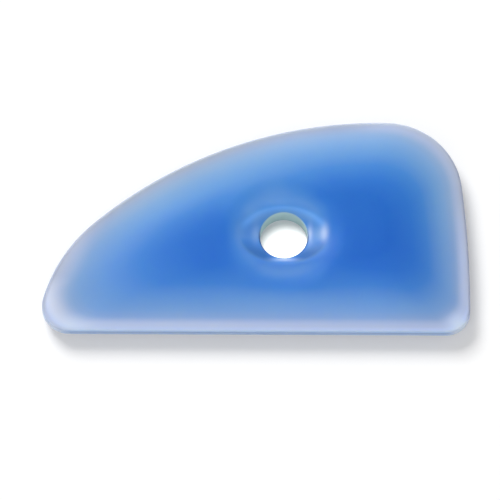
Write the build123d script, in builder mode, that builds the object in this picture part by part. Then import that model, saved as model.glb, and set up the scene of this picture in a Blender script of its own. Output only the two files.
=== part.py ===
from build123d import *
import os
from math import hypot, sqrt

# Pottery rib: one moulded blade with a straight working edge and a finger hole.
# Millimetres, +Z up. The blade rests on the flat of its underside, its length lies
# along X and its straight working edge faces -Y. The origin is the middle of its
# box, on the surface that it rests on.

# Overall size
length = 107.95
width = 55.88
thickness = 8.0

# Plain edge wall that runs round the whole outline
rim_height = 3.0
rim_round = 0.35

# Outline: one straight edge and six arcs, each tangent to the next. The back arc
# is highest at crest_setback from the side, and nose_gap outside the tip's circle.
heel_radius = 5.9
side_radius = 254.0
shoulder_radius = 19.3
crest_setback = 22.9
nose_radius = 41.4
nose_gap = 3.8
tip_radius = 6.75

# Flats in the middle of the upper face and of the underside, and the slopes down to
# the rim. At the upper flat, arcs of the outline have shrunk to these shares.
cap_width = 16.9
seat_width = 27.9
slope_power = 1.5
slope_steps = 5
cap_shoulder_share = 0.37
cap_nose_share = 0.62
cap_gap_share = 0.1
cap_tip_share = 0.85

# Finger hole
hole_x = 6.9
hole_y = -2.6
hole_radius = 6.0
hole_round = 0.6

# Round dish about the hole, in the upper face: a level floor and a curved slope
dish_radius = 13.6
dish_slope_width = 2.8
dish_depth = 0.85
dish_round = 1.5

# Eye-shaped finger scoop along X, in the dish: as deep as this before the hole is cut
# through it, ending inside the dish and wider than the hole
scoop_depth = 2.0
scoop_end_margin = 2.4
scoop_side_margin = 1.3
scoop_round = 0.6

# How far a cutting solid runs past the face that it cuts
overrun = 1.0


def arc_radius(half_width, depth):
    """The radius of an arc that is so deep over half its width."""
    return (half_width**2 + depth**2) / (2 * depth)


def arc_reach(radius, rise):
    """How far an arc has come sideways when it has risen so much from its lowest point."""
    return sqrt(radius**2 - (radius - rise) ** 2)


def meeting_point(first, first_reach, second, second_reach):
    """The point left of the line from first to second, at a given reach from each."""
    line = second - first
    along = (first_reach**2 - second_reach**2 + line.length**2) / (2 * line.length)
    across = sqrt(first_reach**2 - along**2)
    step = line.normalized()
    return first + step * along + step.rotate(Axis.Z, 90) * across


def point_on(center, radius, toward):
    """The point of a circle in the direction of another point."""
    return center + (toward - center).normalized() * radius


# The rim is in the middle of the thickness, and each face rises from it by the same amount
face_rise = (thickness - rim_height) / 2
rim_bottom = face_rise
rim_top = face_rise + rim_height

cap_inset = (width - cap_width) / 2
seat_inset = (width - seat_width) / 2

# Radius at which the back arc, level at its crest, passes nose_gap outside the tip's circle
crest_x = length / 2 - crest_setback
tip_run = crest_x + length / 2 - tip_radius
tip_drop = width - tip_radius
tip_clear = tip_radius + nose_gap
back_radius = (tip_run**2 + tip_drop**2 - tip_clear**2) / (2 * (tip_drop - tip_clear))

side_center = Vector(length / 2 - side_radius, heel_radius - width / 2)
back_center = Vector(crest_x, width / 2 - back_radius)


def blade_section(height, inset):
    """A level slice of the blade: its outline moved in by inset, with its corners kept round."""
    edge_y = inset - width / 2
    side_reach = side_radius - inset
    back_reach = back_radius - inset
    cap_share = inset / cap_inset
    shoulder_reach = shoulder_radius * (1 - cap_share + cap_share * cap_shoulder_share)
    nose_reach = nose_radius * (1 - cap_share + cap_share * cap_nose_share)
    tip_corner = tip_radius * (1 - cap_share + cap_share * cap_tip_share)
    gap = nose_gap * (1 - cap_share + cap_share * cap_gap_share)
    tip_reach = back_reach - tip_corner - gap

    # Centres of the four corner circles
    heel_y = edge_y + heel_radius
    heel_x = side_center.X + sqrt((side_reach - heel_radius) ** 2 - (heel_y - side_center.Y) ** 2)
    tip_y = edge_y + tip_corner
    tip_x = back_center.X - sqrt(tip_reach**2 - (tip_y - back_center.Y) ** 2)
    heel = Vector(heel_x, heel_y)
    tip = Vector(tip_x, tip_y)
    shoulder = meeting_point(
        side_center, side_reach - shoulder_reach, back_center, back_reach - shoulder_reach
    )
    nose = meeting_point(tip, nose_reach - tip_corner, back_center, back_reach - nose_reach)

    # Points where one arc passes into the next
    edge_start = Vector(tip_x, edge_y)
    edge_end = Vector(heel_x, edge_y)
    side_start = point_on(side_center, side_reach, heel)
    side_end = point_on(side_center, side_reach, shoulder)
    back_start = point_on(back_center, back_reach, shoulder)
    back_end = point_on(back_center, back_reach, nose)
    nose_end = point_on(nose, nose_reach, tip)

    with BuildSketch(Plane.XY.offset(height)) as section:
        with BuildLine():
            Line(edge_start, edge_end)
            RadiusArc(edge_end, side_start, -heel_radius)
            RadiusArc(side_start, side_end, -side_reach)
            RadiusArc(side_end, back_start, -shoulder_reach)
            RadiusArc(back_start, back_end, -back_reach)
            RadiusArc(back_end, nose_end, -nose_reach)
            RadiusArc(nose_end, edge_start, -tip_corner)
        make_face()
    return section.sketch


def face_sections(rim_z, flat_z, flat_inset):
    """Slices of one face, from the rim to its flat, where the slope has died away."""
    shares = [step / slope_steps for step in range(slope_steps + 1)]
    return [
        blade_section(flat_z + (rim_z - flat_z) * (1 - share) ** slope_power, flat_inset * share)
        for share in shares
    ]


def outside(radius):
    """A test of an edge: both its ends are further than radius from the hole's axis."""
    return lambda edge: all(
        hypot(end.X - hole_x, end.Y - hole_y) > radius for end in edge.vertices()
    )


# Upright plane through the middle of the hole, and the heights and arcs of the cuts in it
hole_plane = Plane((hole_x, hole_y, 0), x_dir=(1, 0, 0), z_dir=(0, -1, 0))
cut_top = thickness + overrun
dish_floor = thickness - dish_depth
dish_floor_radius = dish_radius - dish_slope_width
dish_arc_radius = arc_radius(dish_slope_width, dish_depth)
dish_arc_end = dish_floor_radius + arc_reach(dish_arc_radius, cut_top - dish_floor)
scoop_bottom = dish_floor - scoop_depth
scoop_long_radius = arc_radius(dish_radius - scoop_end_margin, scoop_depth)
scoop_end = arc_reach(scoop_long_radius, cut_top - scoop_bottom)
scoop_cross_radius = arc_radius(hole_radius + scoop_side_margin, scoop_depth)
scoop_axis_z = scoop_bottom + scoop_cross_radius

with BuildPart() as rib_body:
    # Blade: the upright rim, and a face lofted above and below it
    extrude(blade_section(rim_bottom, 0), amount=rim_height)
    loft(face_sections(rim_top, thickness, cap_inset))
    loft(face_sections(rim_bottom, 0, seat_inset))

    # Dish: a level floor that curves up to meet the upper face
    with BuildSketch(hole_plane):
        with BuildLine():
            Polyline((0, cut_top), (0, dish_floor), (dish_floor_radius, dish_floor))
            TangentArc((dish_floor_radius, dish_floor), (dish_arc_end, cut_top), tangent=(1, 0))
            Line((dish_arc_end, cut_top), (0, cut_top))
        make_face()
    revolve(axis=Axis((hole_x, hole_y, 0), (0, 0, 1)), mode=Mode.SUBTRACT)
    dish_lip = rib_body.edges(Select.NEW).filter_by(outside(dish_floor_radius + rim_round))
    fillet(dish_lip, dish_round)

    # Scoop: a barrel along X, with its long arc downwards
    with BuildSketch(hole_plane):
        with BuildLine():
            ThreePointArc((-scoop_end, cut_top), (0, scoop_bottom), (scoop_end, cut_top))
            Polyline(
                (scoop_end, cut_top),
                (scoop_end, scoop_axis_z),
                (-scoop_end, scoop_axis_z),
                (-scoop_end, cut_top),
            )
        make_face()
    revolve(axis=Axis((hole_x, hole_y, scoop_axis_z), (1, 0, 0)), mode=Mode.SUBTRACT)
    scoop_lip = rib_body.faces().filter_by(GeomType.REVOLUTION).edges()
    fillet(scoop_lip, scoop_round)

    # Finger hole, rounded where it meets the scoop and the underside
    with BuildSketch(Plane.XY.offset(cut_top)):
        with Locations((hole_x, hole_y)):
            Circle(hole_radius)
    extrude(amount=-cut_top - overrun, mode=Mode.SUBTRACT)
    hole_wall = rib_body.faces(Select.LAST).filter_by(GeomType.CYLINDER)
    hole_ends = hole_wall.edges().filter_by(GeomType.LINE, reverse=True)
    fillet(hole_ends, hole_round)

    # Corners of the rim
    for corner_z in (rim_bottom, rim_top):
        corner = rib_body.edges().filter_by_position(
            Axis.Z, corner_z - rim_round, corner_z + rim_round
        )
        fillet(corner, rim_round)

rib_body.part.label = "rib_body"

os.makedirs("parts", exist_ok=True)
export_step(rib_body.part, "parts/rib_body.step")
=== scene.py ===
from math import pi, radians, sqrt, tan

import bpy
import numpy as np
from mathutils import Matrix, Vector


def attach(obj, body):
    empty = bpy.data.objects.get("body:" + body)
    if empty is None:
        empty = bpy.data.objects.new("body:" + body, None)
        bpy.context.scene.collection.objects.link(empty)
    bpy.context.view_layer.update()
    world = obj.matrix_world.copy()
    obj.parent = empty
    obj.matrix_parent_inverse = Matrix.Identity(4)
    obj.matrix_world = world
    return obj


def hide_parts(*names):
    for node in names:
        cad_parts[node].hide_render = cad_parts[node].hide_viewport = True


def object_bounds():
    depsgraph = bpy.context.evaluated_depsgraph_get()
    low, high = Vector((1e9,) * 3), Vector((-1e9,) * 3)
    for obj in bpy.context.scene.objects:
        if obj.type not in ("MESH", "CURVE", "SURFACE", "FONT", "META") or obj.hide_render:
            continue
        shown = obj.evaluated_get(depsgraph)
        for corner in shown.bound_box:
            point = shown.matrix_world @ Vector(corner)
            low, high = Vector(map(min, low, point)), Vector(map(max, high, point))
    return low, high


# Looks of a pottery rib: one moulded blade of frosted, translucent blue plastic that
# lies on white paper. Its shape is worked out in millimetres and stored in metres, in
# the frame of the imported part: its length along X, its straight edge facing -Y, +Z up.

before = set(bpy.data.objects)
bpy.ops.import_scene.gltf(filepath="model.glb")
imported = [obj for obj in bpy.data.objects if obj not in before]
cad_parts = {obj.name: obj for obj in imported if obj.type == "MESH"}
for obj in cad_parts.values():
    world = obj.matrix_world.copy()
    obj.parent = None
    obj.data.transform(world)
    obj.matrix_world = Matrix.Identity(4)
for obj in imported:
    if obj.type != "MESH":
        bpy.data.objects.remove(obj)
cad_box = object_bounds()

MM = 0.001
length, width, thickness = (cad_box[1] - cad_box[0]) / MM

# Rim, and the outline's arcs
rim_height = 3.0
rim_round = 0.35
heel_radius = 5.9
side_radius = 254.0
shoulder_radius = 19.3
crest_setback = 22.9
nose_radius = 41.4
nose_gap = 3.8
tip_radius = 6.75

# Flats of the two faces, the slopes down to the rim, and how far arcs shrink on them
cap_width = 16.9
seat_width = 27.9
slope_power = 1.5
cap_shoulder_share = 0.37
cap_nose_share = 0.62
cap_gap_share = 0.1
cap_tip_share = 0.85

# Finger hole, the dish round it and the eye-shaped scoop in the dish
hole = np.array([6.9, -2.6])
hole_radius = 6.0
hole_round = 0.6
dish_radius = 13.6
dish_depth = 0.85
dish_floor_end = 9.0
dish_slope_end = 16.0
scoop_depth = 2.0
scoop_end_margin = 2.4
scoop_side_margin = 1.6
scoop_blend = 0.6

# Mesh: rays out from the middle of the hole, and rings round it
ray_count = 640
arc_points = 240
slice_count = 60
fine_zone_radius = 16.4
fine_rings = 32
upper_rings = 32
lower_rings = 38
corner_rings = 4
rim_wall_rings = 6
hole_wall_rings = 8
rim_crowding = 1.7

# Tints. Each span is a pair of places in millimetres: an effect is nothing at the first
# and full at the second. An x or y counts from the middle of the blade, along and across
# from the middle of the hole, an inset from the outline, a depth from the dish's floor
# down into the scoop, and a height from the paper.

# How deep the tint looks, in millimetres. It deepens in the middle of the right side, as
# painted shade where the light falls less
right_shift = 4.0
right_x_span = (28, 50)
right_inset_span = (4, 16)

# It clears round the hole, as painted light that comes in through the hole and its dish:
# by how much, how far out in full, and how soon less beyond that
clear_shift = 6.0
clear_radius = 9.0
clear_fade = 3.9
clear_power = 3

# It clears on the scoop's back, painted light, and deepens on the two ends of its front
# edge, painted shade, because of how light passes through them
scoop_depth_span = (0, 0.25)
scoop_back_shift = 4.0
scoop_back_across_span = (2, 6)
scoop_front_shift = 3.0
scoop_front_depth_span = (1.2, 0.5)
scoop_front_across_span = (-0.5, -2.5)
scoop_front_along_span = (2, 5)

# Patches in the scoop and round the dish: painted light where the tint looks shallower,
# and painted shade where a negative shift makes it deeper. Their middle along and across,
# half sizes and shift
patches = [
    ((8.4, 0.3), (1.7, 2.3), 6.5),
    ((7.8, -3.2), (2.5, 1.5), 2.5),
    ((8.6, 6.4), (3.4, 3.0), 2.5),
    ((5.0, 8.6), (2.6, 1.8), 1.4),
    ((0.0, 8.3), (4.5, 1.3), 2.0),
    ((-8.4, 6.0), (2.6, 2.4), 2.0),
    ((-7.2, -0.4), (1.8, 2.7), 3.0),
    ((-12.0, -0.5), (2.6, 7.0), 4.2),
    ((-6.6, 1.5), (1.2, 2.0), 2.0),
    ((-9.5, -6.5), (2.5, 2.5), 1.8),
    ((14.5, -2.5), (2.5, 5.0), 1.6),
    ((1.0, -13.2), (9.0, 2.6), -3.4),
]

# Shade on the scoop's front slope, off its middle: from its edge down to near its floor
shade_edge_depth_span = (-0.35, 0.2)
shade_floor_depth_span = (1.8, 0.6)
shade_across_span = (-1.0, -5.0)
shade_along_span = (1.5, 5)

# Light that gathers along the scoop's back edge: its strength, and where it is by depth
arc_strength = 0.6
arc_depth = 0.25
arc_spread = 0.35
arc_across_span = (0.5, 4)

# Glints on the scoop's two ends, on the hole's right and front lips, and on the heel's and
# the tip's corners: their middle along and across, half sizes and strength
glints = [
    ((10.2, 0.5), (1.0, 2.1), 0.70),
    ((6.6, 0.5), (0.7, 2.2), 0.62),
    ((0.2, -6.6), (2.9, 0.5), 0.60),
    ((-7.0, 0.3), (1.0, 2.0), 0.14),
    ((44.0, -23.1), (2.8, 2.5), 0.72),
    ((-53.0, -24.3), (5.5, 2.8), 0.45),
]

# Thin haze of painted light round the hole, laid on with the glints
halo_light_strength = 0.035
halo_light_radius = 8.8
halo_light_spread = 2.8

# Where the blade's front and its left back get painted shade, where its tip is tinted a
# little warmer, and where its straight edge is, short of the corners at its two ends
front_y_span = (9, -9)
left_x_span = (15, -20)
left_y_span = (-27, -15)
left_inset_span = (10, 3)
tip_x_span = (-38, -52)
edge_side_y_span = (-20, -25)
edge_tip_x_span = (-51, -46)
edge_heel_x_span = (51, 47.5)

# Pale band just inside the rim, partly the thin plastic's own paler tint and partly painted
# light that comes in at the rim: how strong it is along the straight edge, with what it gains
# at the tip and loses towards the heel, then on the right side, with what it loses towards
# the shoulder, and on the back and the left
pale_front = 0.53
pale_front_y_span = (-8, -22)
pale_tip_gain = 0.47
pale_heel_loss = 0.10
pale_heel_x_span = (-20, 30)
pale_right = 0.45
pale_right_x_span = (36, 52)
pale_shoulder_loss = 0.25
pale_shoulder_y_span = (-10, 15)
pale_back = 0.25
pale_back_x_span = (20, 36)
pale_left = 0.3
pale_left_x_span = (-35, -48)
pale_left_y_span = (8, -3)

# The insets where the pale band is full and where it ends, and how much wider it is at the
# tip, and on the tip's back side
pale_full = 1.5
pale_tip_full = 0.6
pale_end = 3.8
pale_tip_widening = 0.4
pale_left_widening = 3.5
pale_widening_y_span = (-18, -9)

# Thin grey line along the rim's upper corner, painted shade where the rounded corner bends
# the light away: how strong it is on each side, the insets where it is full and where it
# ends, and its heights
line_left = 0.75
line_left_x_span = (-20, -45)
line_right = 0.80
line_right_x_span = (40, 52)
line_back = 0.25
line_full = 0.1
line_end = 0.45
line_end_left = 0.75
line_end_left_x_span = (-25, -45)
line_end_right = 0.70
line_height_span = (4.9, 5.2)

# The line runs round the back, and at the tip and the heel some way to the straight edge.
# It loses this share of its strength on the tip's straight side
line_back_y_span = (-22, -14)
line_tip_x_span = (-45, -50)
line_heel_x_span = (46, 48)
line_heel_y_span = (-25.5, -23)
line_tip_loss_share = 0.6

# Bluer band along the rim of the straight edge
edge_strength = 0.7
edge_y_span = (-16, -26)
edge_inset_span = (1.5, 0.5)

# Dark line of painted shade on the hole's lip, on both sides and in front of them, but not
# in the middle: how far out it is from the hole's wall, and its heights
lip_line_out_span = (0.5, 0.1)
lip_line_across_span = (3, -1)
lip_line_along_span = (2.0, 4.5)
lip_line_height_span = (4.6, 5.2)

# How far out over the hole's rounded ends the colour of its wall reaches, as a share of
# their radius. The wall is painted pale grey-green for the shade in the hole and the light
# that comes through the clear plastic
bore_round_share = 0.4

# Colours, in the 0 to 255 values that a screen shows. First, the blade by how deep the
# tint looks, in millimetres
depth_tints = [
    (0.6, (173, 184, 204)),
    (1.8, (167, 186, 218)),
    (3.2, (157, 188, 226)),
    (5.0, (140, 182, 228)),
    (8.0, (117, 169, 225)),
    (12.0, (79, 147, 220)),
    (16.0, (53, 128, 214)),
    (20.0, (38, 116, 207)),
    (24.0, (20, 106, 204)),
]
full_depth = depth_tints[-1][0]

# Then each mask's colour, in the order that they are laid over it, and how
layers = [
    # Painted shade on the front half
    ("front", "MULTIPLY", (244, 246, 255)),
    # Painted shade on the right side, where the light falls less
    ("right", "MULTIPLY", (247, 244, 242)),
    # The pale band, partly the plastic's own tint and partly painted light
    ("pale", "MIX", (219, 230, 254)),
    ("edge", "MIX", (194, 213, 255)),
    # Painted shade on the left back, which the light falls on most
    ("left", "MULTIPLY", (245, 245, 242)),
    ("tip", "MULTIPLY", (252, 248, 241)),
    ("shade", "MULTIPLY", (246, 234, 224)),
    # Painted light along the scoop's back edge, then painted glints and haze of light
    ("arc", "MIX", (112, 184, 255)),
    ("glint", "MIX", (215, 230, 255)),
    # The hole's wall, painted for its shade and the light through it
    ("bore", "MIX", (198, 225, 226)),
    # A painted dark line of shade on the hole's lip
    ("lip_line", "MIX", (60, 90, 152)),
]

# The rim's wall on the straight edge, pale with painted light that comes through it, the
# painted dark line of shade along it, the wall on the other sides, paler still with painted
# light, and the grey line of painted shade
rim_tint = (180, 206, 248)
rim_shade_tint = (140, 168, 215)
side_rim_tint = (206, 221, 250)
line_tint = (138, 147, 172)

# The painted shade line's middle and half width, as shares of the rim's height
rim_shade_middle_share = 0.6
rim_shade_half_share = 0.2

# Noises, each with its scale, in bumps a metre, its detail and its roughness: clouds in
# the tint, in millimetres of depth, the frosted grain, its height in metres, and patches
# that are a little rougher
cloud_noise = (55, 3, 0.5)
cloud_depth = 0.5
grain_noise = (2600, 2, 0.6)
grain_strength = 0.05
grain_height = 0.0001
rough_noise = (90, 4, 0.6)
rough_least = 0.30
rough_range = 0.10

# How the plastic bends and reflects light, and how far light spreads inside it, in metres,
# with a share of that for red, green and blue
plastic_ior = 1.5
plastic_gloss = 0.08
glow_scale = 0.003
glow_shares = (1.0, 0.9, 0.8)

# How bright the room is as a light, where 1 is white
room_light = 0.24

# Paper: half its side in metres, its own colour, and how much it is lifted to white where
# it is seen
paper_reach = 3.0
paper_white = 0.80
paper_lift = 0.255

# Pool of light that the clear wall of the hole lets through onto the paper: the light in
# it, what is added to or taken from the paper beside it in the hole, where its middle is
# from the hole's, and how far from there it is full and gone
pool_light = 0.80
pool_shade = -0.13
pool_middle = (0.8, -2.6)
pool_full = 4.7
pool_radius = 8.2

# Lamps: how far off they stand, in metres, and for each the direction that it stands in,
# how wide it looks, in degrees, and how bright it is
lamp_distance = 4.0
lamps = {
    "key": ((-0.52, 0.85, 1.0), 28, 0.87),
    "front_fill": ((-0.35, -1.0, 0.6), 60, 0.30),
    "right_fill": ((1.0, -0.2, 0.6), 60, 0.18),
}

# The photograph's view: straight along +Y from high in front, through a long lens. Its
# angles are in degrees, and the frame's width and the target in the blade's millimetres
view_elevation = 71.2
view_roll = 0.25
view_width = 126.2
lens_length = 1000.0
view_target = Vector((-1.61, -6.30, 5.5))

ray_angles = np.linspace(0, 2 * pi, ray_count, endpoint=False)
ray_ways = np.stack([np.cos(ray_angles), np.sin(ray_angles)], axis=1)


def arc_radius(half_width, depth):
    """The radius of an arc that is so deep over half its width."""
    return (half_width**2 + depth**2) / (2 * depth)


def meeting_point(first, first_reach, second, second_reach):
    """The point left of the line from first to second, at a given reach from each."""
    line = second - first
    span = np.hypot(*line)
    along = (first_reach**2 - second_reach**2 + span**2) / (2 * span)
    across = sqrt(first_reach**2 - along**2)
    step = line / span
    return first + step * along + np.array([-step[1], step[0]]) * across


def point_on(center, radius, toward):
    """The point of a circle in the direction of another point."""
    way = toward - center
    return center + way / np.hypot(*way) * radius


def arc(center, start, end):
    """Points along the anticlockwise arc from start up to end."""
    radius = np.hypot(*(start - center))
    first = np.arctan2(*(start - center)[::-1])
    turn = (np.arctan2(*(end - center)[::-1]) - first) % (2 * pi)
    angles = first + turn * np.linspace(0, 1, arc_points, endpoint=False)
    return center + radius * np.stack([np.cos(angles), np.sin(angles)], axis=1)


cap_inset = (width - cap_width) / 2
seat_inset = (width - seat_width) / 2

# Radius at which the back arc, level at its crest, passes nose_gap outside the tip's circle
crest_x = length / 2 - crest_setback
tip_run = crest_x + length / 2 - tip_radius
tip_drop = width - tip_radius
tip_clear = tip_radius + nose_gap
back_radius = (tip_run**2 + tip_drop**2 - tip_clear**2) / (2 * (tip_drop - tip_clear))

side_center = np.array([length / 2 - side_radius, heel_radius - width / 2])
back_center = np.array([crest_x, width / 2 - back_radius])


def outline(inset):
    """Points round a level slice of the blade, its outline moved in by inset."""
    cap_share = inset / cap_inset
    edge_y = inset - width / 2
    side_reach = side_radius - inset
    back_reach = back_radius - inset
    shoulder_reach = shoulder_radius * (1 - cap_share + cap_share * cap_shoulder_share)
    nose_reach = nose_radius * (1 - cap_share + cap_share * cap_nose_share)
    tip_corner = tip_radius * (1 - cap_share + cap_share * cap_tip_share)
    gap = nose_gap * (1 - cap_share + cap_share * cap_gap_share)
    tip_reach = back_reach - tip_corner - gap

    # Centres of the four corner circles
    heel_y = edge_y + heel_radius
    heel_rise = heel_y - side_center[1]
    heel_x = side_center[0] + sqrt((side_reach - heel_radius) ** 2 - heel_rise**2)
    tip_y = edge_y + tip_corner
    tip_x = back_center[0] - sqrt(tip_reach**2 - (tip_y - back_center[1]) ** 2)
    heel = np.array([heel_x, heel_y])
    tip = np.array([tip_x, tip_y])
    shoulder = meeting_point(
        side_center, side_reach - shoulder_reach, back_center, back_reach - shoulder_reach
    )
    nose = meeting_point(tip, nose_reach - tip_corner, back_center, back_reach - nose_reach)

    # Points where one arc passes into the next
    edge_start = np.array([tip_x, edge_y])
    edge_end = np.array([heel_x, edge_y])
    side_start = point_on(side_center, side_reach, heel)
    side_end = point_on(side_center, side_reach, shoulder)
    back_start = point_on(back_center, back_reach, shoulder)
    back_end = point_on(back_center, back_reach, nose)
    nose_end = point_on(nose, nose_reach, tip)
    edge_shares = np.linspace(0, 1, arc_points, endpoint=False)[:, None]
    return np.concatenate(
        [
            edge_start + (edge_end - edge_start) * edge_shares,
            arc(heel, edge_end, side_start),
            arc(side_center, side_start, side_end),
            arc(shoulder, side_end, back_start),
            arc(back_center, back_start, back_end),
            arc(nose, back_end, nose_end),
            arc(tip, nose_end, edge_start),
        ]
    )


def reach(inset):
    """How far the rays run from the middle of the hole to a slice's outline."""
    away = outline(inset) - hole
    angles = np.arctan2(away[:, 1], away[:, 0]) % (2 * pi)
    order = np.argsort(angles)
    radii = np.hypot(away[:, 0], away[:, 1])
    return np.interp(ray_angles, angles[order], radii[order], period=2 * pi)


slice_insets = np.linspace(0, cap_inset, slice_count + 1)
slice_reaches = np.array([reach(inset) for inset in slice_insets])


def inset_at(radii):
    """The inset of the slice that each ray meets at its radius, up to the upper flat's."""
    return np.array(
        [
            np.interp(-radius, -slice_reaches[:, ray], slice_insets)
            for ray, radius in enumerate(radii)
        ]
    )


# Heights of the rim, the dish and the scoop, the radii of the scoop's long arc and of the
# one across it, and a height for where the scoop doesn't reach
face_rise = (thickness - rim_height) / 2
dish_floor = thickness - dish_depth
scoop_bottom = dish_floor - scoop_depth
scoop_long = arc_radius(dish_radius - scoop_end_margin, scoop_depth)
scoop_cross = arc_radius(hole_radius + scoop_side_margin, scoop_depth)
far_above = 2 * thickness


def smooth_step(start, full, value):
    """0 up to start and 1 from full on, with a smooth rise between, in either direction."""
    share = np.clip((value - start) / (full - start), 0, 1)
    return share * share * (3 - 2 * share)


def soft_minimum(first, second, blend):
    """The lower of two heights, rounded where they cross."""
    near = np.clip(1 - np.abs(first - second) / blend, 0, 1)
    return np.minimum(first, second) - blend / 4 * near**2


def scoop_height(radii):
    """The barrel along X that the scoop is cut with, its long arc downwards."""
    along, across = (radii[:, None] * ray_ways).T
    section = scoop_cross - scoop_long + np.sqrt(np.clip(scoop_long**2 - along**2, 0, None))
    drop = np.sqrt(np.clip(section**2 - across**2, 0, None))
    inside = (section > 0) & (np.abs(across) < section)
    return np.where(inside, scoop_bottom + scoop_cross - drop, far_above)


def upper_height(radii):
    """The upper face: its slope and flat, with the dish and the scoop cut in."""
    slope = thickness - face_rise * (1 - inset_at(radii) / cap_inset) ** slope_power
    dished = slope - dish_depth * smooth_step(dish_slope_end, dish_floor_end, radii)
    return soft_minimum(dished, scoop_height(radii), scoop_blend)


def lower_height(radii):
    """The underside: a slope from the rim in to the flat that it rests on."""
    run = np.clip(1 - inset_at(radii) / seat_inset, 0, 1)
    return face_rise * run**slope_power


def corner_ways(slope):
    """Sideways and upward parts of the ways a rounded corner faces, from face to wall."""
    angles = [(pi / 2 - slope) * share for share in np.linspace(1, 0, corner_rings + 1)]
    return [(np.cos(angle), np.sin(angle)) for angle in angles]


def hole_corner(height, up):
    """Rings of the rounded corner at one end of the hole, from the face to the wall."""
    around = np.full(ray_count, hole_radius + hole_round)
    probe = np.full(ray_count, hole_round / 2)
    slope = np.arctan((height(around + probe) - height(around)) * up / probe)
    middle_z = height(around - hole_round * np.sin(slope)) - up * hole_round * np.cos(slope)
    return [
        (hole_radius + hole_round * (1 - sideways), middle_z + up * hole_round * upward)
        for sideways, upward in corner_ways(slope)
    ]


def rim_corner(height, flat_inset, up):
    """Rings of the rounded corner of the rim on one face, from the face to the wall."""
    slope = np.arctan(slope_power * face_rise / flat_inset)
    ways = corner_ways(slope)
    start = reach(rim_round * (1 - ways[0][0]))
    middle_z = height(start) - up * rim_round * ways[0][1]
    return [
        (reach(rim_round * (1 - sideways)), middle_z + up * rim_round * upward)
        for sideways, upward in ways
    ]


def wall(first, last, count):
    """Rings of a wall, between the last rings of two corners."""
    return [
        tuple(start + (end - start) * step / count for start, end in zip(first, last))
        for step in range(1, count)
    ]


def face_radii(inner, outer, count, first=1):
    """Radii of the rings between an inner and an outer one, set closer towards the rim."""
    shares = [1 - (1 - step / count) ** rim_crowding for step in range(first, count)]
    return [inner + (outer - inner) * share for share in shares]


def upper_radii(inner, outer):
    """Close circles over the dish, then rings that near the outline."""
    near = [
        inner + (fine_zone_radius - inner) * step / fine_rings
        for step in range(1, fine_rings)
    ]
    return near + face_radii(np.full(ray_count, fine_zone_radius), outer, upper_rings, 0)


def blade_rings():
    """Radii and heights of the closed section's rings, once round from the hole's upper end."""
    hole_top = hole_corner(upper_height, 1)
    rim_top = rim_corner(upper_height, cap_inset, 1)
    rim_foot = rim_corner(lower_height, seat_inset, -1)
    hole_foot = hole_corner(lower_height, -1)
    over = upper_radii(hole_top[0][0], rim_top[0][0])
    under = face_radii(hole_foot[0][0], rim_foot[0][0], lower_rings)
    sections = [
        hole_top[::-1],
        [(radii, upper_height(radii)) for radii in over],
        rim_top,
        wall(rim_top[-1], rim_foot[-1], rim_wall_rings),
        rim_foot[::-1],
        [(radii, lower_height(radii)) for radii in under[::-1]],
        hole_foot,
        wall(hole_foot[-1], hole_top[-1], hole_wall_rings),
    ]
    rings = [ring for section in sections for ring in section]
    radii = np.array([np.broadcast_to(radius, ray_count) for radius, height in rings])
    heights = np.array([np.broadcast_to(height, ray_count) for radius, height in rings])
    return radii, heights


class Places:
    """Where the mesh's points are, in millimetres, in each way that a tint needs."""

    def __init__(self, radii, heights):
        self.radii = radii
        self.heights = heights
        self.inset = np.array([inset_at(ring) for ring in radii])
        self.along = radii * ray_ways[:, 0]
        self.across = radii * ray_ways[:, 1]
        self.x = hole[0] + self.along
        self.y = hole[1] + self.across
        self.scoop = dish_floor - np.array([scoop_height(ring) for ring in radii])
        self.tip = smooth_step(*tip_x_span, self.x)
        self.right = smooth_step(*right_x_span, self.x)
        self.edge_side = smooth_step(*edge_side_y_span, self.y)

    def patch(self, middle, half_size):
        """A soft spot, 1 in its middle."""
        x = (self.along - middle[0]) / half_size[0]
        y = (self.across - middle[1]) / half_size[1]
        return np.exp(-(x**2) - y**2)


def soft_band(value, middle, spread):
    """1 where a value is in the middle of a band, and less on both sides."""
    return np.exp(-(((value - middle) / spread) ** 2))


def tint_depth(at):
    """How deep the tint looks, in millimetres, with painted light and shade laid into it."""
    depth = at.inset + right_shift * at.right * smooth_step(*right_inset_span, at.inset)
    beyond = np.clip(at.radii - clear_radius, 0, None)
    clear = 1 / (1 + (beyond / clear_fade) ** clear_power)
    in_scoop = smooth_step(*scoop_depth_span, at.scoop)
    back = scoop_back_shift * in_scoop * smooth_step(*scoop_back_across_span, at.across)
    front = smooth_step(*scoop_front_depth_span, at.scoop)
    front = front * smooth_step(*scoop_front_across_span, at.across)
    front = front * smooth_step(*scoop_front_along_span, np.abs(at.along))
    depth -= clear_shift * clear + back
    depth += scoop_front_shift * in_scoop * front
    for middle, half_size, shift in patches:
        depth -= shift * at.patch(middle, half_size)
    return depth


def scoop_shade(at):
    """The shaded front slope of the scoop."""
    shade = smooth_step(*shade_edge_depth_span, at.scoop)
    shade = shade * smooth_step(*shade_floor_depth_span, at.scoop)
    shade = shade * smooth_step(*shade_across_span, at.across)
    return shade * smooth_step(*shade_along_span, np.abs(at.along))


def scoop_arc(at):
    """The light along the scoop's back edge."""
    light = arc_strength * soft_band(at.scoop, arc_depth, arc_spread)
    return light * smooth_step(*arc_across_span, at.across)


def glint(at):
    """The painted glints and haze of light, on the upper face alone."""
    light = sum(strength * at.patch(*place) for *place, strength in glints)
    light += halo_light_strength * soft_band(at.radii, halo_light_radius, halo_light_spread)
    return np.clip(light, 0, 1) * (at.heights > thickness / 2)


def left_back(at):
    """The back of the blade's left half, near the rim, short of the tip, for painted shade."""
    left = smooth_step(*left_x_span, at.x) * smooth_step(*left_y_span, at.y)
    return left * smooth_step(*left_inset_span, at.inset) * (1 - at.tip)


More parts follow.
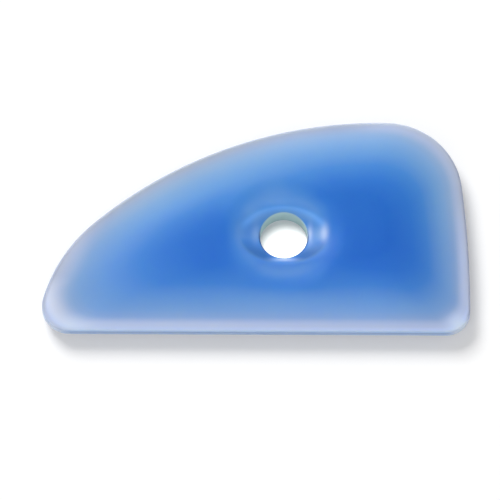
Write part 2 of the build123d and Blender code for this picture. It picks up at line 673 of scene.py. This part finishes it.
def straight_edge(at):
    """The side of the straight edge, between its corners."""
    off_tip = smooth_step(*edge_tip_x_span, at.x)
    return at.edge_side * off_tip * smooth_step(*edge_heel_x_span, at.x)


def pale_band(at):
    """The pale band just inside the rim: the plastic's own tint and painted light."""
    heel = pale_heel_loss * smooth_step(*pale_heel_x_span, at.x)
    front = pale_front + pale_tip_gain * at.tip - heel
    front = smooth_step(*pale_front_y_span, at.y) * front
    right = pale_right - pale_shoulder_loss * smooth_step(*pale_shoulder_y_span, at.y)
    right = smooth_step(*pale_right_x_span, at.x) * right
    back = pale_back * smooth_step(*pale_back_x_span, at.x)
    left = pale_left * smooth_step(*pale_left_y_span, at.y)
    left = left * smooth_step(*pale_left_x_span, at.x)
    end = pale_end + pale_tip_widening * at.tip
    end = end + pale_left_widening * at.tip * smooth_step(*pale_widening_y_span, at.y)
    full = pale_full + (pale_tip_full - pale_full) * at.tip
    strength = np.maximum.reduce([front, right, back, left])
    return strength * smooth_step(end, full, at.inset)


def rim_line(at):
    """The thin grey line of painted shade on the rim's upper corner, off the straight edge."""
    on_right = smooth_step(*line_right_x_span, at.x)
    on_left = smooth_step(*line_left_x_span, at.x)
    strength = np.maximum(line_left * on_left, line_right * on_right)
    end = line_end + (line_end_right - line_end) * on_right
    end = end + (line_end_left - line_end) * smooth_step(*line_end_left_x_span, at.x)
    back = smooth_step(*line_back_y_span, at.y)
    tip = smooth_step(*line_tip_x_span, at.x)
    heel = smooth_step(*line_heel_x_span, at.x) * smooth_step(*line_heel_y_span, at.y)
    line = np.maximum(strength, line_back) * np.maximum.reduce([back, tip, heel])
    line = line * (1 - line_tip_loss_share * at.edge_side * at.tip)
    line = line * smooth_step(*line_height_span, at.heights)
    return line * smooth_step(end, line_full, at.inset)


def edge_band(at):
    """The bluer band along the rim of the straight edge."""
    band = edge_strength * smooth_step(*edge_y_span, at.y)
    return band * smooth_step(*edge_inset_span, at.inset)


def lip_line(at):
    """The painted dark line of shade on the hole's lip."""
    start, full = (hole_radius + out for out in lip_line_out_span)
    line = smooth_step(start, full, at.radii) * smooth_step(*lip_line_across_span, at.across)
    line = line * smooth_step(*lip_line_along_span, np.abs(at.along))
    return line * smooth_step(*lip_line_height_span, at.heights)


def tint_masks(radii, heights):
    """What the material needs to know of each point, all from 0 to 1 but the depth in mm."""
    at = Places(radii, heights)
    bore_end = hole_radius + hole_round * bore_round_share
    return {
        "depth": tint_depth(at),
        "front": smooth_step(*front_y_span, at.y),
        "right": at.right,
        "left": left_back(at),
        "tip": at.tip,
        "straight": straight_edge(at),
        "shade": scoop_shade(at),
        "pale": pale_band(at),
        "edge": edge_band(at),
        "line": rim_line(at),
        "arc": scoop_arc(at),
        "glint": glint(at),
        "lip_line": lip_line(at),
        "bore": smooth_step(bore_end, hole_radius, at.radii),
        "rim": smooth_step(rim_round, 0, at.inset),
        "rim_height": np.clip((at.heights - face_rise) / rim_height, 0, 1),
    }


def make_blade():
    """The whole blade as one closed mesh of quads, with its masks as point attributes."""
    radii, heights = blade_rings()
    ring_count = len(radii)
    points = np.empty((ring_count, ray_count, 3))
    points[..., :2] = hole + radii[..., None] * ray_ways
    points[..., 2] = heights
    near = np.arange(ring_count)[:, None] * ray_count + np.arange(ray_count)
    far = np.roll(near, -1, axis=0)
    faces = np.stack([near, far, np.roll(far, -1, axis=1), np.roll(near, -1, axis=1)], axis=-1)
    mesh = bpy.data.meshes.new("blade")
    mesh.from_pydata((points.reshape(-1, 3) * MM).tolist(), [], faces.reshape(-1, 4).tolist())
    mesh.shade_smooth()
    for name, values in tint_masks(radii, heights).items():
        mask = mesh.attributes.new(name, "FLOAT", "POINT")
        mask.data.foreach_set("value", values.ravel().astype(np.float32))
    blade = bpy.data.objects.new("blade", mesh)
    bpy.context.scene.collection.objects.link(blade)
    return blade


def linear(red, green, blue):
    """A colour for a node's socket, from the 0 to 255 values that a screen shows."""
    parts = [c / 255 for c in (red, green, blue)]
    return [c / 12.92 if c <= 0.04045 else ((c + 0.055) / 1.055) ** 2.4 for c in parts] + [1]


class Nodes:
    """A material's node tree, with short calls for the nodes that this script needs."""

    def __init__(self, material):
        material.use_nodes = True
        self.tree = material.node_tree
        self.tree.nodes.clear()

    def add(self, kind, inputs=None, **settings):
        """A node of a kind, with its settings and with values or links for its inputs."""
        node = self.tree.nodes.new(kind)
        for name, value in settings.items():
            setattr(node, name, value)
        for name, value in (inputs or {}).items():
            if isinstance(value, bpy.types.NodeSocket):
                self.tree.links.new(value, node.inputs[name])
            else:
                node.inputs[name].default_value = value
        return node

    def attribute(self, name):
        """A mask of the mesh."""
        return self.add("ShaderNodeAttribute", attribute_name=name).outputs["Fac"]

    def math(self, operation, first, second=0.0, third=0.0, clamp=False):
        """A sum or other operation on numbers."""
        inputs = {0: first, 1: second, 2: third}
        return self.add("ShaderNodeMath", inputs, operation=operation, use_clamp=clamp).outputs[0]

    def vector(self, operation, *inputs):
        """An operation on vectors, as a node."""
        return self.add("ShaderNodeVectorMath", dict(enumerate(inputs)), operation=operation)

    def mix(self, factor, first, second, blend="MIX"):
        """Two colours, mixed."""
        # Inputs 6 and 7 and output 2 of a mix are the colour ones
        inputs = {0: factor, 6: first, 7: second}
        return self.add("ShaderNodeMix", inputs, data_type="RGBA", blend_type=blend).outputs[2]

    def ramp(self, factor, stops):
        """A colour ramp with a stop for each place and colour."""
        node = self.add("ShaderNodeValToRGB", {"Fac": factor})
        elements = node.color_ramp.elements
        while len(elements) < len(stops):
            elements.new(1.0)
        for element, (place, color) in zip(elements, stops):
            element.position = place
            element.color = linear(*color)
        return node.outputs["Color"]

    def object_place(self):
        """A point in the object's own coordinates."""
        return self.add("ShaderNodeTexCoord").outputs["Object"]

    def noise(self, scale, detail, roughness):
        """Noise over the object's own coordinates."""
        settings = {"Scale": scale, "Detail": detail, "Roughness": roughness}
        inputs = {"Vector": self.object_place(), **settings}
        return self.add("ShaderNodeTexNoise", inputs).outputs["Fac"]


def blade_color(nodes):
    """The tint, deeper from the thin rim to the thick middle, with its masks laid over it, many
    of them painted light and shade.
    """
    cloud = nodes.math("MULTIPLY_ADD", nodes.noise(*cloud_noise), cloud_depth, -cloud_depth / 2)
    depth = nodes.math("ADD", nodes.attribute("depth"), cloud)
    share = nodes.math("DIVIDE", depth, full_depth)
    color = nodes.ramp(share, [(place / full_depth, tint) for place, tint in depth_tints])
    for mask, blend, tint in layers:
        color = nodes.mix(nodes.attribute(mask), color, linear(*tint), blend)
    color = nodes.mix(nodes.attribute("rim"), color, rim_color(nodes))
    return nodes.mix(nodes.attribute("line"), color, linear(*line_tint))


def rim_color(nodes):
    """The rim's wall, pale with painted light, with a painted line of shade along it on the
    straight edge.
    """
    height = nodes.attribute("rim_height")
    off_rim_shade = nodes.math("ABSOLUTE", nodes.math("SUBTRACT", height, rim_shade_middle_share))
    rim_shade = nodes.math("MULTIPLY_ADD", off_rim_shade, -1 / rim_shade_half_share, 1.0, clamp=True)
    edge = nodes.mix(rim_shade, linear(*rim_tint), linear(*rim_shade_tint))
    return nodes.mix(nodes.attribute("straight"), linear(*side_rim_tint), edge)


def blade_material():
    """Frosted, translucent plastic."""
    material = bpy.data.materials.new("frosted_plastic")
    nodes = Nodes(material)
    grain = nodes.add(
        "ShaderNodeBump",
        {
            "Height": nodes.noise(*grain_noise),
            "Strength": grain_strength,
            "Distance": grain_height,
        },
    )
    shader = nodes.add(
        "ShaderNodeBsdfPrincipled",
        {
            "Base Color": blade_color(nodes),
            "Roughness": nodes.math(
                "MULTIPLY_ADD", nodes.noise(*rough_noise), rough_range, rough_least
            ),
            "Normal": grain.outputs["Normal"],
            "IOR": plastic_ior,
            "Specular IOR Level": plastic_gloss,
            "Subsurface Weight": 1.0,
            "Subsurface Radius": glow_shares,
            "Subsurface Scale": glow_scale,
        },
    )
    nodes.add("ShaderNodeOutputMaterial", {"Surface": shader.outputs[0]})
    return material


def seen_rays(nodes):
    """1 for the rays that show a surface as it is, and 0 for those that gather light."""
    path = nodes.add("ShaderNodeLightPath")
    seen = nodes.math("MAXIMUM", path.outputs["Is Camera Ray"], path.outputs["Is Glossy Ray"])
    return nodes.math("MAXIMUM", seen, path.outputs["Is Transmission Ray"])


def pool_in_hole(nodes):
    """The light on the paper that shows through the hole."""
    hole_place = (hole[0] * MM, hole[1] * MM, 0)
    pool_place = (pool_middle[0] * MM, pool_middle[1] * MM, 0)
    spot = nodes.vector("SUBTRACT", nodes.object_place(), hole_place).outputs[0]
    off_hole = nodes.vector("LENGTH", spot).outputs["Value"]
    off_pool = nodes.vector("DISTANCE", spot, pool_place).outputs["Value"]
    pool = nodes.add(
        "ShaderNodeMapRange",
        {
            "Value": off_pool,
            "From Min": pool_radius * MM,
            "From Max": pool_full * MM,
            "To Min": pool_shade,
            "To Max": pool_light,
        },
        interpolation_type="SMOOTHSTEP",
    )
    in_hole = nodes.math("LESS_THAN", off_hole, hole_radius * MM)
    return nodes.math("MULTIPLY", in_hole, pool.outputs["Result"])


def paper_material():
    """White paper, lifted to plain white where it is seen and nothing shades it."""
    material = bpy.data.materials.new("white_paper")
    nodes = Nodes(material)
    white = (paper_white, paper_white, paper_white, 1)
    diffuse = nodes.add("ShaderNodeBsdfDiffuse", {"Color": white})
    glow = nodes.math("ADD", pool_in_hole(nodes), paper_lift)
    strength = nodes.math("MULTIPLY", seen_rays(nodes), glow)
    lift = nodes.add("ShaderNodeEmission", {"Color": (1, 1, 1, 1), "Strength": strength})
    both = nodes.add("ShaderNodeAddShader", {0: diffuse.outputs[0], 1: lift.outputs[0]})
    nodes.add("ShaderNodeOutputMaterial", {"Surface": both.outputs[0]})
    return material


def make_floor():
    """The sheet of paper that the blade lies on, which keeps its shadow."""
    corner_shares = [(-1, -1), (1, -1), (1, 1), (-1, 1)]
    corners = [(x * paper_reach, y * paper_reach, 0) for x, y in corner_shares]
    mesh = bpy.data.meshes.new("paper")
    mesh.from_pydata(corners, [], [(0, 1, 2, 3)])
    mesh.materials.append(paper_material())
    floor = bpy.data.objects.new("paper", mesh)
    bpy.context.scene.collection.objects.link(floor)


def make_world():
    """An even white room: white where it is seen, and dimmer as a light."""
    world = bpy.data.worlds.new("studio")
    bpy.context.scene.world = world
    nodes = Nodes(world)
    strength = nodes.math("MULTIPLY_ADD", seen_rays(nodes), 1 - room_light, room_light)
    sky = nodes.add("ShaderNodeBackground", {"Color": (1, 1, 1, 1), "Strength": strength})
    nodes.add("ShaderNodeOutputWorld", {"Surface": sky.outputs[0]})


def add_lamp(name, direction, spread, brightness):
    """A square soft light that shines on the blade from a direction, as wide as spread."""
    lamp = bpy.data.lights.new(name, "AREA")
    lamp.shape = "SQUARE"
    lamp.size = 2 * lamp_distance * tan(radians(spread / 2))
    # A square lamp's power for one unit of light on a surface that faces it
    lamp.energy = brightness * pi * lamp_distance**2 * pi
    holder = bpy.data.objects.new(name, lamp)
    way = Vector(direction).normalized()
    holder.location = way * lamp_distance
    holder.rotation_euler = (-way).to_track_quat("-Z", "Y").to_euler()
    bpy.context.scene.collection.objects.link(holder)


def make_camera():
    """The camera, placed so that its square frame is view_width across at the target."""
    data = bpy.data.cameras.new("camera")
    data.lens = lens_length
    camera = bpy.data.objects.new("camera", data)
    distance = view_width * MM * data.lens / data.sensor_width
    tilt = Matrix.Rotation(radians(90 - view_elevation), 4, "X")
    roll = Matrix.Rotation(radians(view_roll), 4, "Z")
    place = Matrix.Translation(view_target * MM)
    camera.matrix_world = place @ tilt @ Matrix.Translation((0, 0, distance)) @ roll
    bpy.context.scene.collection.objects.link(camera)
    bpy.context.scene.camera = camera


make_camera()
make_world()
make_floor()
for name, (direction, spread, brightness) in lamps.items():
    add_lamp(name, direction, spread, brightness)
bpy.context.scene.view_settings.view_transform = "Standard"

blade = make_blade()
blade.data.materials.append(blade_material())
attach(blade, "root")
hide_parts("rib_body")
